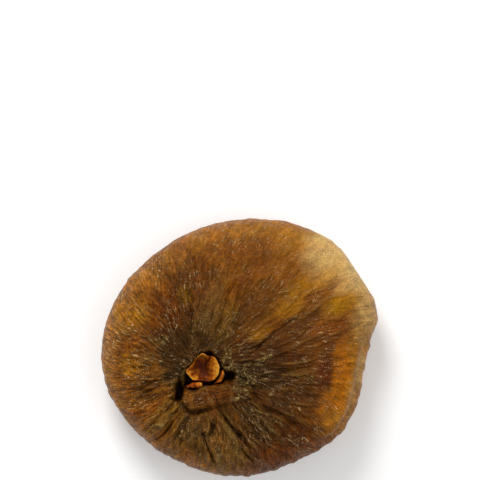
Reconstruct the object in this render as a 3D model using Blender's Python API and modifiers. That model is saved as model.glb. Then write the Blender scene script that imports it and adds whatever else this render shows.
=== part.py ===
"""A dried fig, pressed flat: one pleated fruit with its stem end in the middle of the upper face.

Metres, +Z up. The origin is the middle of the footprint, on the surface that the fruit lies on. X runs
along the fruit's longest side, and the folded neck lies on the -Y side of the stem. Places below are measured
from the middle that the outline is drawn about, and the finished pieces are then centred on the origin.
"""

import math

import bmesh
import bpy
from mathutils import Vector, noise
from mathutils.bvhtree import BVHTree

MM = 0.001

# The pressed outline: bearing from +X in degrees, and radius about the fruit's middle.
OUTLINE = (
    (3, 24.6 * MM),
    (14, 26.6 * MM),
    (30, 26.1 * MM),
    (47, 26.4 * MM),
    (70, 25.0 * MM),
    (95, 23.8 * MM),
    (130, 23.7 * MM),
    (160, 25.1 * MM),
    (190, 26.2 * MM),
    (215, 25.4 * MM),
    (240, 24.5 * MM),
    (268, 24.3 * MM),
    (295, 23.8 * MM),
    (321, 24.9 * MM),
    (338, 24.1 * MM),
    (352, 23.8 * MM),
)

# The section: where the side is widest, and how far the two faces stand from there.
EQUATOR = 7.3 * MM
CROWN_RISE = 8.6 * MM
BASE_DROP = 7.9 * MM
CROWN_ROUNDING = 5.0
BASE_ROUNDING = 4.0

# Where the skin gathers: the stem on the upper face and the eye on the lower one.
STEM = Vector((-6.7 * MM, -3.5 * MM))
EYE = Vector((1.5 * MM, 1.0 * MM))

# Broad swells and hollows of the upper face: x, y, radius, height.
SWELLS = (
    (-4.0 * MM, -4.5 * MM, 14.0 * MM, -2.3 * MM),
    (17.0 * MM, 12.0 * MM, 9.0 * MM, 0.7 * MM),
    (-3.0 * MM, 16.0 * MM, 8.0 * MM, 0.4 * MM),
    (-18.0 * MM, 5.0 * MM, 8.0 * MM, 0.5 * MM),
    (-2.5 * MM, -18.5 * MM, 4.5 * MM, 0.5 * MM),
    (9.0 * MM, 9.5 * MM, 5.0 * MM, 0.4 * MM),
)

# The steep pit round the stem: bearing from +X in degrees, and radius about the stem.
PIT_OUTLINE = (
    (0, 4.8 * MM),
    (45, 4.3 * MM),
    (88, 4.0 * MM),
    (140, 4.0 * MM),
    (180, 4.6 * MM),
    (207, 5.1 * MM),
    (240, 5.2 * MM),
    (268, 5.2 * MM),
    (298, 5.5 * MM),
    (318, 5.8 * MM),
    (340, 5.3 * MM),
)
PIT_DEPTH = 4.8 * MM
PIT_STEEPNESS = 7

# The narrow holes beside the stem: x, y, radius, depth.
HOLES = (
    (-11.4 * MM, -8.0 * MM, 1.4 * MM, 2.4 * MM),
    (-1.9 * MM, -5.3 * MM, 1.4 * MM, 2.6 * MM),
)

# The folded neck, a blunt lobe that lies beside the stem.
NECK_START = Vector((-8.5 * MM, -10.0 * MM))
NECK_END = Vector((1.2 * MM, -8.4 * MM))
NECK_RADII = (2.4 * MM, 1.7 * MM)
NECK_RISE = 2.0 * MM
NECK_CREASE_DEPTH = 0.8 * MM
NECK_CREASE_WIDTH = 1.0 * MM

# The main folds of the skin: half width, depth, and the points along each.
FOLDS = (
    (0.9 * MM, 0.9 * MM, ((-7.8, -14.6), (-6.7, -16.3), (-6.0, -18.6), (-3.9, -23.0))),
    (0.9 * MM, 0.9 * MM, ((-4.4, -11.0), (-1.5, -14.8), (0.6, -17.0), (3.2, -22.3))),
    (0.9 * MM, 0.8 * MM, ((-10.9, -8.6), (-12.4, -10.1), (-15.1, -12.8), (-17.2, -14.8))),
    (1.0 * MM, 0.6 * MM, ((-11.8, -12.8), (-13.8, -15.6), (-17.2, -17.6))),
    (1.2 * MM, 0.7 * MM, ((-0.8, -4.0), (3.0, 0.0), (8.6, 4.6), (15.8, 7.4))),
    (1.1 * MM, 0.4 * MM, ((10.0, 9.0), (14.9, 10.4), (19.4, 13.2))),
    (1.1 * MM, 0.4 * MM, ((-5.6, 1.0), (-3.8, 5.0), (-2.2, 10.0), (0.6, 15.0))),
    (1.0 * MM, 0.4 * MM, ((2.2, -9.6), (6.4, -11.6), (14.0, -16.9))),
)

# Pleats of the shrunken skin: how many cross a full turn, their height, how far they lean from the stem to
# the rim, and how often they break on the way.
PLEATS = 30
PLEAT_HEIGHT = 0.8 * MM
PLEAT_SWIRL = math.radians(14)
PLEAT_BREAKS = 2.2
PLEAT_SEED = 4.7

# The share of that height on the upper face and along the rim, by bearing from +X in degrees, and on the lower
# face. The skin is drawn tight above the stem and gathered below it.
CROWN_PLEATING = (
    (15, 0.30),
    (70, 0.30),
    (130, 0.35),
    (185, 0.45),
    (220, 0.80),
    (262, 0.85),
    (295, 0.60),
    (335, 0.35),
)
RIM_PLEATING = (
    (10, 0.38),
    (32, 0.10),
    (90, 0.08),
    (150, 0.12),
    (200, 0.18),
    (250, 0.24),
    (300, 0.30),
    (335, 0.42),
)
BASE_PLEATING = 0.7

# The pressed shoulder on the right: its middle bearing and half width, then its ridge and its groove, each
# with its height or depth, its share of the way to the rim, and its half width as such a share.
SHOULDER_BEARING = math.radians(-22)
SHOULDER_HALF = math.radians(30)
SHOULDER_RIDGE = (0.5 * MM, 0.91, 0.035)
SHOULDER_GROOVE = (0.35 * MM, 0.968, 0.02)

# The hollow of the eye, on the underside.
EYE_RADIUS = 3.6 * MM
EYE_DEPTH = 2.1 * MM

# Facets of the fruit: round it, across its upper face, and across its lower one. A face's rings crowd its
# middle by a power of their number.
TURNS = 120
CROWN_RINGS = 34
BASE_RINGS = 13
CROWN_CROWDING = 1.45
BASE_CROWDING = 1.2

# The rings near the stem are round, with a radius that is their share of this reach.
STEM_REACH = 24.0 * MM

# The torn mouth of the stub: its outer radius, the radius of its hollow, and how far its rim stands above the
# mean, each by bearing from +X in degrees.
STUB_MIDDLE = Vector((-6.85 * MM, -3.55 * MM))
STUB_OUTER = (
    (0, 3.0 * MM),
    (58, 2.6 * MM),
    (90, 2.7 * MM),
    (130, 2.4 * MM),
    (155, 2.5 * MM),
    (185, 3.4 * MM),
    (215, 3.0 * MM),
    (270, 2.65 * MM),
    (330, 3.0 * MM),
)
STUB_HOLLOW = (
    (0, 0.95 * MM),
    (58, 1.5 * MM),
    (100, 1.7 * MM),
    (155, 1.3 * MM),
    (243, 1.0 * MM),
    (300, 1.35 * MM),
)
STUB_RISE = (
    (15, 0.5 * MM),
    (58, -0.35 * MM),
    (100, 0.5 * MM),
    (155, -0.25 * MM),
    (215, -0.35 * MM),
    (270, -0.9 * MM),
)

# The stub's section: share of the way from the hollow to the outer radius, scale, and height above its foot.
STUB_SECTION = (
    (1.0, 0.55, 0.0),
    (1.0, 0.70, 1.6 * MM),
    (1.0, 0.88, 3.0 * MM),
    (1.0, 1.00, 4.1 * MM),
    (0.8, 1.00, 4.8 * MM),
    (0.4, 1.00, 4.8 * MM),
    (0.0, 1.00, 4.1 * MM),
    (0.0, 0.80, 3.2 * MM),
    (0.0, 0.20, 2.7 * MM),
)
STUB_FOOT_RADIUS = 2.7 * MM
STUB_OPENS = (0.5 * MM, 4.0 * MM)
STUB_TORN = (2.4 * MM, 4.6 * MM)
STUB_TURNS = 40

# The clear space between the fruit and the small pieces in its pit.
SMALL_GAP = 0.5 * MM

# The bracts beside the stub: bearing and distance from the stem, shift sideways, width, height, thickness, and
# how much each bends round the stem.
BRACT_LEAN = 0.1 * MM
BRACT_FOOT_WIDTH = 0.55
BRACTS = {
    "bract_right": (math.radians(-36), 4.05 * MM, 0.0, 3.4 * MM, 3.6 * MM, 0.7 * MM, 1.0),
    "bract_left": (math.radians(-85), 3.6 * MM, -2.1 * MM, 3.3 * MM, 2.8 * MM, 0.9 * MM, 0.3),
}

# The scales that close the eye, fused in a button: its size, and how its scales swirl, flare and overlap.
SCALES_MIDDLE = 1.0 * MM
SCALES_RADIUS = 2.3 * MM
SCALES_HALF_HEIGHT = 0.55 * MM
SCALES_COUNT = 6
SCALES_SWIRL = 0.35
SCALES_FLARE = 0.1
SCALES_OVERLAP = 0.45

COLOURS = {
    "fig_body": ((0.30, 0.155, 0.045), 0.45),
    "stem_stub": ((0.52, 0.23, 0.04), 0.5),
    "bract_right": ((0.56, 0.27, 0.06), 0.5),
    "bract_left": ((0.52, 0.22, 0.04), 0.5),
    "eye_scales": ((0.22, 0.10, 0.035), 0.6),
}


def eased(start, end, value):
    """Runs smoothly from 0 at start to 1 at end."""
    share = min(1.0, max(0.0, (value - start) / (end - start)))
    return share * share * (3.0 - 2.0 * share)


def hump(distance, radius):
    """1 at no distance, falling off softly past the radius."""
    return math.exp(-((distance / radius) ** 2))


def curve_at(points, bearing):
    """The value at a bearing, on a smooth closed curve through points of bearing in degrees and value."""
    degrees = math.degrees(bearing) % 360.0
    count = len(points)
    here = max((i for i in range(count) if points[i][0] <= degrees), default=-1)
    angles, values = [], []
    for step in (-1, 0, 1, 2):
        laps, index = divmod(here + step, count)
        angles.append(points[index][0] + 360.0 * laps)
        values.append(points[index][1])
    span = angles[2] - angles[1]
    slope_in = (values[2] - values[0]) / (angles[2] - angles[0]) * span
    slope_out = (values[3] - values[1]) / (angles[3] - angles[1]) * span
    t = (degrees - angles[1]) / span
    return (
        values[1] * (2 * t**3 - 3 * t**2 + 1)
        + slope_in * (t**3 - 2 * t**2 + t)
        + values[2] * (3 * t**2 - 2 * t**3)
        + slope_out * (t**3 - t**2)
    )


def nearest_on(path, point):
    """Distance from a point to a path of points, and how far along it the nearest place lies, from 0 to 1."""
    best, along = math.inf, 0.0
    for index in range(len(path) - 1):
        start, end = path[index], path[index + 1]
        run = end - start
        t = min(1.0, max(0.0, (point - start).dot(run) / run.length_squared))
        gap = (point - start - run * t).length
        if gap < best:
            best, along = gap, (index + t) / (len(path) - 1)
    return best, along


def neck_height(point):
    """The folded neck above the face round it, with the crease that runs round its free end."""
    gap, along = nearest_on((NECK_START, NECK_END), point)
    radius = NECK_RADII[0] + (NECK_RADII[1] - NECK_RADII[0]) * along
    lobe = NECK_RISE * hump(gap, 0.8 * radius) * (1.0 - 0.5 * along)
    crease = NECK_CREASE_DEPTH * hump(gap - radius, NECK_CREASE_WIDTH)
    return lobe - crease * (1.0 - eased(0.25, 0.9, along))


FOLD_PATHS = [
    (half, depth, [Vector(p) * MM for p in points]) for half, depth, points in FOLDS
]


def fold_depth(point):
    """How far the main folds sink the skin at a point of the upper face."""
    sunk = 0.0
    for half, depth, path in FOLD_PATHS:
        gap, along = nearest_on(path, point)
        ends = eased(0.0, 0.3, along) * eased(0.0, 0.15, 1.0 - along)
        sunk += depth * ends * math.exp(-gap / half)
    return sunk


def pit_depth(point):
    """How far the pit round the stem sinks a point of the upper face."""
    outward = point - STEM
    wall = curve_at(PIT_OUTLINE, math.atan2(outward.y, outward.x))
    return PIT_DEPTH * math.exp(-((outward.length / wall) ** PIT_STEEPNESS))


def crown_point(rim, share):
    """A point of the upper face, at a share of the way from the stem to the rim."""
    outward = rim - STEM
    rounding = (STEM_REACH / outward.length - 1.0) * (1.0 - share)
    place = STEM + outward * share * (1.0 + rounding)
    rise = CROWN_RISE
    for x, y, radius, height in SWELLS:
        rise += height * hump((place - Vector((x, y))).length, radius)
    rise -= pit_depth(place)
    for x, y, radius, depth in HOLES:
        rise -= depth * hump((place - Vector((x, y))).length, radius)
    rise += neck_height(place) - fold_depth(place)
    return Vector((place.x, place.y, EQUATOR + rise * math.sqrt(1.0 - share**CROWN_ROUNDING)))


def base_point(rim, share):
    """A point of the lower face, at a share of the way from the eye to the rim."""
    place = EYE.lerp(rim, share)
    height = EQUATOR - BASE_DROP * math.sqrt(1.0 - share**BASE_ROUNDING)
    hollow = EYE_DEPTH * math.exp(-(((place - EYE).length / EYE_RADIUS) ** 4))
    return Vector((place.x, place.y, max(0.0, height) + hollow))


def pleat(bearing, share, upper):
    """How far the pleats stand out from the skin. They run from the stem over the rim to the eye."""
    along = share if upper else 2.0 - share
    turn = bearing - PLEAT_SWIRL * along
    reach = PLEATS / math.tau
    place = Vector((math.cos(turn) * reach, math.sin(turn) * reach, along * PLEAT_BREAKS + PLEAT_SEED))
    puff = abs(noise.noise(place)) * 2.0 - 0.45
    at_rim = curve_at(RIM_PLEATING, bearing)
    if upper:
        pleating = curve_at(CROWN_PLEATING, bearing)
        pleating += (at_rim - pleating) * eased(0.75, 0.98, share)
        return PLEAT_HEIGHT * pleating * puff * min(1.0, share / 0.8) * eased(0.08, 0.3, share)
    near_rim = eased(0.8, 1.0, share)
    pleating = BASE_PLEATING + (at_rim - BASE_PLEATING) * near_rim
    puff = min(puff, 0.0) + max(puff, 0.0) * near_rim
    return PLEAT_HEIGHT * pleating * puff * eased(0.5, 0.95, share)


def shoulder(bearing, share):
    """The ridge and groove where the right side was pressed against its neighbour."""
    turn = math.remainder(bearing - SHOULDER_BEARING, math.tau)
    window = 1.0 - eased(0.55, 1.0, abs(turn) / SHOULDER_HALF)
    height, ridge_share, ridge_half = SHOULDER_RIDGE
    depth, groove_share, groove_half = SHOULDER_GROOVE
    ridge = height * hump(share - ridge_share, ridge_half)
    groove = depth * hump(share - groove_share, groove_half)
    return window * (ridge - groove)


def fig_body():
    """The fruit: a sphere whose rings become rings of skin, from the stem over the rim to the eye."""
    rings = CROWN_RINGS + BASE_RINGS
    shape = bmesh.new()
    bmesh.ops.create_uvsphere(shape, u_segments=TURNS, v_segments=rings, radius=1.0)
    places = {}
    for vert in shape.verts:
        bearing = math.atan2(vert.co.y, vert.co.x)
        ring = math.acos(max(-1.0, min(1.0, vert.co.z))) / math.pi * rings
        radius = curve_at(OUTLINE, bearing)
        rim = Vector((math.cos(bearing) * radius, math.sin(bearing) * radius))
        upper = ring <= CROWN_RINGS
        if upper:
            share = math.sin(math.pi / 2 * (ring / CROWN_RINGS) ** CROWN_CROWDING)
            vert.co = crown_point(rim, share)
        else:
            share = math.sin(math.pi / 2 * ((rings - ring) / BASE_RINGS) ** BASE_CROWDING)
            vert.co = base_point(rim, share)
        places[vert] = (bearing, share, upper)
    shape.normal_update()
    outward = {vert: vert.normal.copy() for vert in shape.verts}
    for vert, (bearing, share, upper) in places.items():
        stand = pleat(bearing, share, upper)
        if upper:
            stand += shoulder(bearing, share)
        vert.co += outward[vert] * stand
        vert.co.z = max(0.0, vert.co.z)
    return shape


def ground(skin, x, y):
    """The height of the upper face at a place."""
    return skin.ray_cast(Vector((x, y, 0.1)), Vector((0.0, 0.0, -1.0)))[0].z


def stem_stub(skin):
    """The stub of the stalk: a cup turned in steps, whose wall follows the torn mouth."""
    shape = bmesh.new()
    profile = [shape.verts.new((1.0 + step, 0.0, 0.0)) for step in range(len(STUB_SECTION))]
    edges = [shape.edges.new(pair) for pair in zip(profile, profile[1:])]
    bmesh.ops.spin(
        shape,
        geom=profile + edges,
        axis=(0, 0, 1),
        cent=(0, 0, 0),
        angle=math.tau,
        steps=STUB_TURNS,
        use_merge=True,
    )
    bmesh.ops.holes_fill(shape, edges=shape.edges, sides=STUB_TURNS)
    foot = 0.0
    for vert in shape.verts:
        bearing = math.atan2(vert.co.y, vert.co.x)
        inward, scale, level = STUB_SECTION[round(vert.co.xy.length) - 1]
        outer = curve_at(STUB_OUTER, bearing) - STUB_FOOT_RADIUS
        outer = STUB_FOOT_RADIUS + outer * eased(*STUB_OPENS, level)
        hollow = curve_at(STUB_HOLLOW, bearing)
        reach = (hollow + (outer - hollow) * inward) * scale
        height = level + curve_at(STUB_RISE, bearing) * eased(*STUB_TORN, level)
        plan = STUB_MIDDLE + reach * Vector((math.cos(bearing), math.sin(bearing)))
        vert.co = (plan.x, plan.y, height)
        if level == 0.0:
            foot = max(foot, ground(skin, plan.x, plan.y) + SMALL_GAP)
    shape.normal_update()
    bmesh.ops.recalc_face_normals(shape, faces=shape.faces)
    bmesh.ops.translate(shape, verts=shape.verts, vec=(0.0, 0.0, foot))
    return shape


def bract(skin, bearing, distance, shift, width, height, thickness, curl):
    """A dry scale that stands beside the stub, bent round it, narrower at its foot and its tip."""
    heading = Vector((math.cos(bearing), math.sin(bearing)))
    crosswise = heading.orthogonal()
    shape = bmesh.new()
    bmesh.ops.create_grid(shape, x_segments=8, y_segments=5, size=0.5)
    foot = 0.0
    for vert in shape.verts:
        across, up = vert.co.x, vert.co.y + 0.5
        belly = math.sin(math.pi * (0.15 + 0.7 * up))
        sideways = across * width * (BRACT_FOOT_WIDTH + (1.0 - BRACT_FOOT_WIDTH) * belly)
        reach = distance - curl * sideways**2 / (2 * distance) - BRACT_LEAN * up
        plan = STEM + heading * reach + crosswise * (shift + sideways)
        outer = plan + heading * thickness / 2
        foot = max(foot, ground(skin, outer.x, outer.y) + SMALL_GAP)
        vert.co = (plan.x, plan.y, height * up * (1.0 - 2.0 * across**2))
    bmesh.ops.recalc_face_normals(shape, faces=shape.faces)
    bmesh.ops.translate(shape, verts=shape.verts, vec=(0.0, 0.0, foot))
    return shape


def eye_scales():
    """The scales that close the eye, fused in one low button."""
    shape = bmesh.new()
    bmesh.ops.create_uvsphere(shape, u_segments=36, v_segments=12, radius=1.0)
    for vert in shape.verts:
        bearing = math.atan2(vert.co.y, vert.co.x)
        reach = vert.co.xy.length
        across = (SCALES_COUNT * (bearing / math.tau + SCALES_SWIRL * reach)) % 1.0
        vert.co.xy *= SCALES_RADIUS * (1.0 + SCALES_FLARE * math.sin(math.tau * across) * reach)
        vert.co.z *= SCALES_HALF_HEIGHT * (1.0 + SCALES_OVERLAP * across * reach)
    bmesh.ops.translate(shape, verts=shape.verts, vec=(EYE.x, EYE.y, SCALES_MIDDLE))
    return shape


def material(name):
    """A plain finish in the piece's own colour."""
    colour, roughness = COLOURS[name]
    made = bpy.data.materials.new(name)
    made.use_nodes = True
    shader = made.node_tree.nodes["Principled BSDF"]
    shader.inputs["Base Color"].default_value = (*colour, 1.0)
    shader.inputs["Roughness"].default_value = roughness
    shader.inputs["Metallic"].default_value = 0.0
    return made


def middle_of(shape):
    """The middle of a shape's footprint."""
    xs = [vert.co.x for vert in shape.verts]
    ys = [vert.co.y for vert in shape.verts]
    return Vector(((min(xs) + max(xs)) / 2, (min(ys) + max(ys)) / 2, 0.0))


def add(name, shape, middle, collection):
    """Turns a finished shape into an object of the fig, centred on the origin."""
    bmesh.ops.translate(shape, verts=shape.verts, vec=-middle)
    mesh = bpy.data.meshes.new(name)
    shape.to_mesh(mesh)
    shape.free()
    mesh.shade_smooth()
    mesh.materials.append(material(name))
    made = bpy.data.objects.new(name, mesh)
    collection.objects.link(made)
    return made


def main():
    for old in list(bpy.data.objects):
        bpy.data.objects.remove(old)
    fig = bpy.data.collections.new("fig")
    bpy.context.scene.collection.children.link(fig)
    body = fig_body()
    skin = BVHTree.FromBMesh(body)
    middle = middle_of(body)
    add("fig_body", body, middle, fig)
    add("stem_stub", stem_stub(skin), middle, fig)
    for name, (bearing, distance, shift, width, height, thickness, curl) in BRACTS.items():
        blade = add(name, bract(skin, bearing, distance, shift, width, height, thickness, curl), middle, fig)
        wall = blade.modifiers.new("thickness", "SOLIDIFY")
        wall.thickness = thickness
        wall.offset = 0.0
    add("eye_scales", eye_scales(), middle, fig)


main()
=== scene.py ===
"""Looks of a dried fig, pressed flat: pleated amber and umber skin, an orange stub and a scaly eye."""

import math
import random

import bmesh
import bpy
import numpy as np
from mathutils import Matrix, Vector, noise


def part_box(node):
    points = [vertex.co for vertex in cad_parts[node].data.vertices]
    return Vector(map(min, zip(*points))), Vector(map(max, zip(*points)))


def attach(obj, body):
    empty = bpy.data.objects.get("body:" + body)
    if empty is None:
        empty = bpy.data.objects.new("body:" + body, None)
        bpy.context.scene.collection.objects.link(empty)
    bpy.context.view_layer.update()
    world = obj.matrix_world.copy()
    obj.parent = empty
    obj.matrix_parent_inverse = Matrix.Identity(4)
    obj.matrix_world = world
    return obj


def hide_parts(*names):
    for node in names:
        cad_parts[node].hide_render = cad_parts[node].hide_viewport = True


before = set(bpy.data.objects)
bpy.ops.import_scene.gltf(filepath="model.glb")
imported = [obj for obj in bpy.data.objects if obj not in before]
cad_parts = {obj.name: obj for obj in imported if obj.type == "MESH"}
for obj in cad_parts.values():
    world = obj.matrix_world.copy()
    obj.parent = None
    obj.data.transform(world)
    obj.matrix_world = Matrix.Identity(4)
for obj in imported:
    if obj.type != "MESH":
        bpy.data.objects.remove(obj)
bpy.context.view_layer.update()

MM = 0.001

# The pressed outline, as the solid has it: bearing in degrees, and radius in millimetres about the middle.
OUTLINE = (
    (3, 24.6), (14, 26.6), (30, 26.1), (47, 26.4), (70, 25.0), (95, 23.8), (130, 23.7), (160, 25.1),
    (190, 26.2), (215, 25.4), (240, 24.5), (268, 24.3), (295, 23.8), (321, 24.9), (338, 24.1), (352, 23.8),
)

# The section, in millimetres: the widest level of the side, and how far the two faces stand from it.
EQUATOR = 7.3
CROWN_RISE = 8.6
BASE_DROP = 7.9
CROWN_ROUNDING = 5.0
BASE_ROUNDING = 4.0

# Where the skin gathers: the stem above and the eye below.
STEM = (-6.7, -3.5)
EYE = (1.5, 1.0)

# Broad swells and hollows of the upper face: x, y, radius, height.
SWELLS = (
    (-4.0, -4.5, 14.0, -2.3), (17.0, 12.0, 9.0, 0.7), (-3.0, 16.0, 8.0, 0.4), (-18.0, 5.0, 8.0, 0.5),
    (-2.5, -18.5, 4.5, 0.5), (9.0, 9.5, 5.0, 0.4), (-5.5, -14.5, 2.4, 0.35), (-12.0, -17.5, 3.0, 0.3),
)

# The steep pit round the stem: bearing in degrees and radius in millimetres about the stem, then its depth.
PIT_OUTLINE = (
    (0, 3.25), (45, 3.0), (88, 2.8), (140, 2.25), (165, 2.4), (182, 2.9),
    (207, 4.1), (235, 5.0), (268, 3.45), (292, 3.6), (318, 4.45), (340, 4.6),
)
PIT_DEPTH = 4.8
PIT_STEEPNESS = 10

# The holes beside the stem: x, y, half width, half length, depth.
HOLES = (
    (-11.4, -7.9, 0.75, 1.9, 3.2),
    (-1.9, -5.25, 0.95, 0.95, 3.2),
    (-12.3, -9.4, 0.9, 0.5, 1.2),
)

# The folded neck: its free end, its root, their radii, its height above the face round it, and how much of it
# is lost at the root. Then the crease round its free end.
NECK_START = (-8.7, -9.4)
NECK_END = (0.8, -8.0)
NECK_RADII = (2.25, 1.7)
NECK_RISE = 2.0
NECK_FADE = 0.6
NECK_CREASE_DEPTH = 1.1
NECK_CREASE_WIDTH = 0.36
NECK_CREASE_OFFSET = 0.25

# The main folds of the skin: half width, depth, height of the lips, and the points along each.
FOLDS = (
    (0.36, 0.7, 0.28, ((-7.85, -14.6), (-6.7, -16.3), (-6.0, -18.6), (-5.0, -21.0), (-3.9, -23.0))),
    (0.30, 0.35, 0.20, ((0.4, -17.0), (0.5, -19.0), (2.2, -21.0), (3.2, -22.4))),
    (0.36, 0.8, 0.30, ((-4.4, -11.0), (-3, -12.9), (-1.5, -14.8), (0.2, -16.6), (1.7, -18.6), (3.2, -22.3))),
    (0.35, 0.6, 0.20, ((-5.2, -13.2), (-4.9, -14.9), (-5.2, -15.9), (-6.0, -16.4))),
    (0.40, 0.8, 0.25, ((-10.9, -8.6), (-12.4, -10.1), (-15.1, -12.8), (-17.2, -14.8))),
    (0.45, 0.6, 0.25, ((-11.8, -12.8), (-13.8, -15.6), (-15.3, -16.9), (-17.2, -17.6))),
    (0.40, 0.35, 0.20, ((-10.4, -12.6), (-11.0, -14.6), (-11.3, -16.4), (-12.2, -17.6))),
    (0.90, 0.35, 0.22, ((-0.8, -4.0), (3.0, 0.0), (6.5, 3.0), (8.6, 4.6), (10.8, 5.9), (15.8, 7.4))),
    (0.90, 0.25, 0.15, ((10.0, 9.0), (14.9, 10.4), (17.6, 11.4), (19.4, 13.2))),
    (0.60, 0.30, 0.15, ((-5.6, 1.0), (-3.8, 5.0), (-2.2, 10.0), (0.6, 15.0))),
    (0.55, 0.30, 0.15, ((-9.6, 0.2), (-9.0, 4.0), (-9.6, 9.0), (-9.0, 13.0))),
    (0.45, 0.15, 0.20, ((2.2, -9.6), (6.4, -11.6), (10.4, -14.0), (14.0, -16.9))),
    (0.40, 0.15, 0.16, ((0.4, -10.6), (3.6, -13.9), (6.8, -17.0), (9.4, -20.4))),
    (0.50, 0.25, 0.15, ((3.0, -5.4), (8.6, -4.2), (13.0, -3.4), (16.6, -1.2))),
    (0.40, 0.4, 0.15, ((-12.6, -5.2), (-16.2, -6.2), (-20.2, -8.6))),
    (0.40, 0.35, 0.15, ((-12.6, -3.2), (-17.0, -3.0), (-21.6, -4.2))),
)

# Finer creases, strewn by a seeded draw.
FINE_CREASE_COUNT = 54
FINE_CREASE_SEED = 5

# How far the folds, creases and crests waver to and fro, and over what length.
WAVER = 0.35
WAVER_LENGTH = 2.2

# What stands for the distance to a crease where none is near, in widths of the crease.
NO_CREASE = 3.0

# Sharp pale crests beside the stem: height, half width, and the points along each.
CRESTS = (
    (0.7, 0.22, ((-2.4, -0.4), (-2.7, -1.8), (-3.0, -2.8))),
    (0.6, 0.20, ((-2.3, -0.4), (-1.9, -1.8), (-2.0, -2.7))),
    (0.6, 0.20, ((-3.0, -2.9), (-2.2, -2.6), (-1.6, -3.3), (-1.2, -4.2))),
    (0.5, 0.18, ((-2.9, -3.6), (-2.2, -3.4), (-1.8, -4.0))),
    (0.6, 0.20, ((-0.4, -4.6), (0.6, -5.2), (1.8, -6.1), (2.6, -7.0))),
    (0.5, 0.18, ((-0.3, -5.5), (0.6, -6.0), (1.8, -6.8))),
    (0.4, 0.18, ((0.5, -4.4), (1.6, -5.2), (2.6, -6.2))),
    (0.4, 0.18, ((-1.0, -7.2), (0.2, -7.9), (1.2, -9.0))),
    (0.35, 0.18, ((-0.6, -9.4), (0.5, -8.6), (1.3, -7.7))),
    (0.22, 0.20, ((0.7, -4.2), (2.4, -3.0), (4.2, -2.4), (6.2, -0.6))),
    (0.15, 0.18, ((-8.9, 0.6), (-8.8, 3.2), (-9.0, 5.4))),
    (0.20, 0.20, ((-17.5, 1.9), (-16.0, 1.5), (-14.6, 1.6), (-14.0, 1.0))),
    (0.12, 0.18, ((1.6, -11.8), (4.2, -13.6), (6.6, -15.6), (8.4, -17.8))),
    (0.12, 0.18, ((2.6, -11.2), (5.4, -12.9), (8.2, -14.4))),
    (0.20, 0.18, ((-16.6, -14.6), (-14.6, -14.2), (-13.0, -13.0), (-12.2, -11.4))),
    (0.22, 0.20, ((-3.4, -22.6), (-4.2, -21.2), (-4.0, -19.4), (-4.8, -17.8))),
    (0.16, 0.18, ((8.0, 4.2), (9.6, 5.4), (11.4, 6.2), (13.2, 6.3))),
    (0.14, 0.16, ((-2.6, 2.0), (-1.8, 4.4), (-0.4, 7.0))),
)
CREST_REACH = 0.46

# Pleats of the shrunken skin, as the solid has them: how many cross a turn, their lean, how often they break
# from the stem to the rim, and a seed. Then two orders of finer wrinkles, and the wander of the colours.
PLEATS = (30, math.radians(14), 2.2, 4.7)
PLEAT_HEIGHT = 0.8
WRINKLES = (84, math.radians(18), 6.0, 11.3)
WRINKLE_HEIGHT = 0.22
CRINKLES = (190, math.radians(20), 16.0, 23.9)
CRINKLE_HEIGHT = 0.09
WANDER = (26, math.radians(14), 5.0, 40.0)

# Low lumps of the skin, one order over the other, and those of the neck: height and size.
LUMPS = ((0.10, 1.1), (0.16, 3.4))
NECK_LUMPS = (0.22, 1.2)

# The share of the pleats' height on the upper face, along the rim and on the lower face, and the share of the
# finer wrinkles that is left at the rim. These and the next tables go by bearing about the middle.
CROWN_PLEATING = (
    (15, 0.30), (70, 0.30), (130, 0.35), (185, 0.45), (220, 0.80), (262, 0.85), (295, 0.60), (335, 0.35),
)
RIM_PLEATING = (
    (10, 0.38), (32, 0.10), (90, 0.08), (150, 0.12), (200, 0.18), (250, 0.24), (300, 0.30), (335, 0.42),
)
BASE_PLEATING = 0.7
RIM_WRINKLING = ((10, 0.6), (40, 0.2), (100, 0.2), (160, 0.4), (220, 0.75), (280, 0.8), (330, 0.8))

# How worn and wrinkled the skin is at the rim, and how much on the lower face.
WEAR = ((15, 0.35), (45, 0.15), (80, 0.40), (130, 0.75), (190, 0.95), (250, 0.90), (300, 0.75), (340, 0.45))
BASE_WEAR = 0.7

# How many specks of sugar and painted glints stand on the skin, and how far its rim pales to tan.
SUGAR_AND_GLINT = (
    (0, 0.60), (55, 0.50), (110, 0.75), (145, 0.95), (175, 1.00), (200, 0.90),
    (235, 0.50), (270, 0.40), (300, 0.70), (322, 0.95), (345, 0.65),
)
RIM_TAN = (
    (0, 0.30), (20, 0.50), (40, 0.80), (70, 0.70), (95, 0.45), (130, 0.45),
    (155, 0.60), (190, 0.75), (230, 0.45), (270, 0.30), (320, 0.30),
)

# The pressed shoulder on the right: bearing and half width, then, for its ridge and for its groove, height or
# depth, the share of the way to the rim, and the half width as such a share.
SHOULDER_BEARING = math.radians(-22)
SHOULDER_HALF = math.radians(30)
SHOULDER_RIDGE = (0.55, 0.915, 0.026)
SHOULDER_GROOVE = (0.4, 0.968, 0.02)

# The hollow of the eye, on the underside.
EYE_RADIUS = 3.6
EYE_DEPTH = 2.1

# Facets of the fruit, and how far its rings crowd the middle of each face.
TURNS = 620
CROWN_RINGS = 106
BASE_RINGS = 48
CROWN_CROWDING = 1.35
BASE_CROWDING = 1.2


def srgb(*levels):
    """A colour on a 0 to 255 scale, in the linear light that shaders use."""
    shares = [level / 255 for level in levels]
    return tuple(share / 12.92 if share < 0.0405 else ((share + 0.055) / 1.055) ** 2.4 for share in shares)


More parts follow.
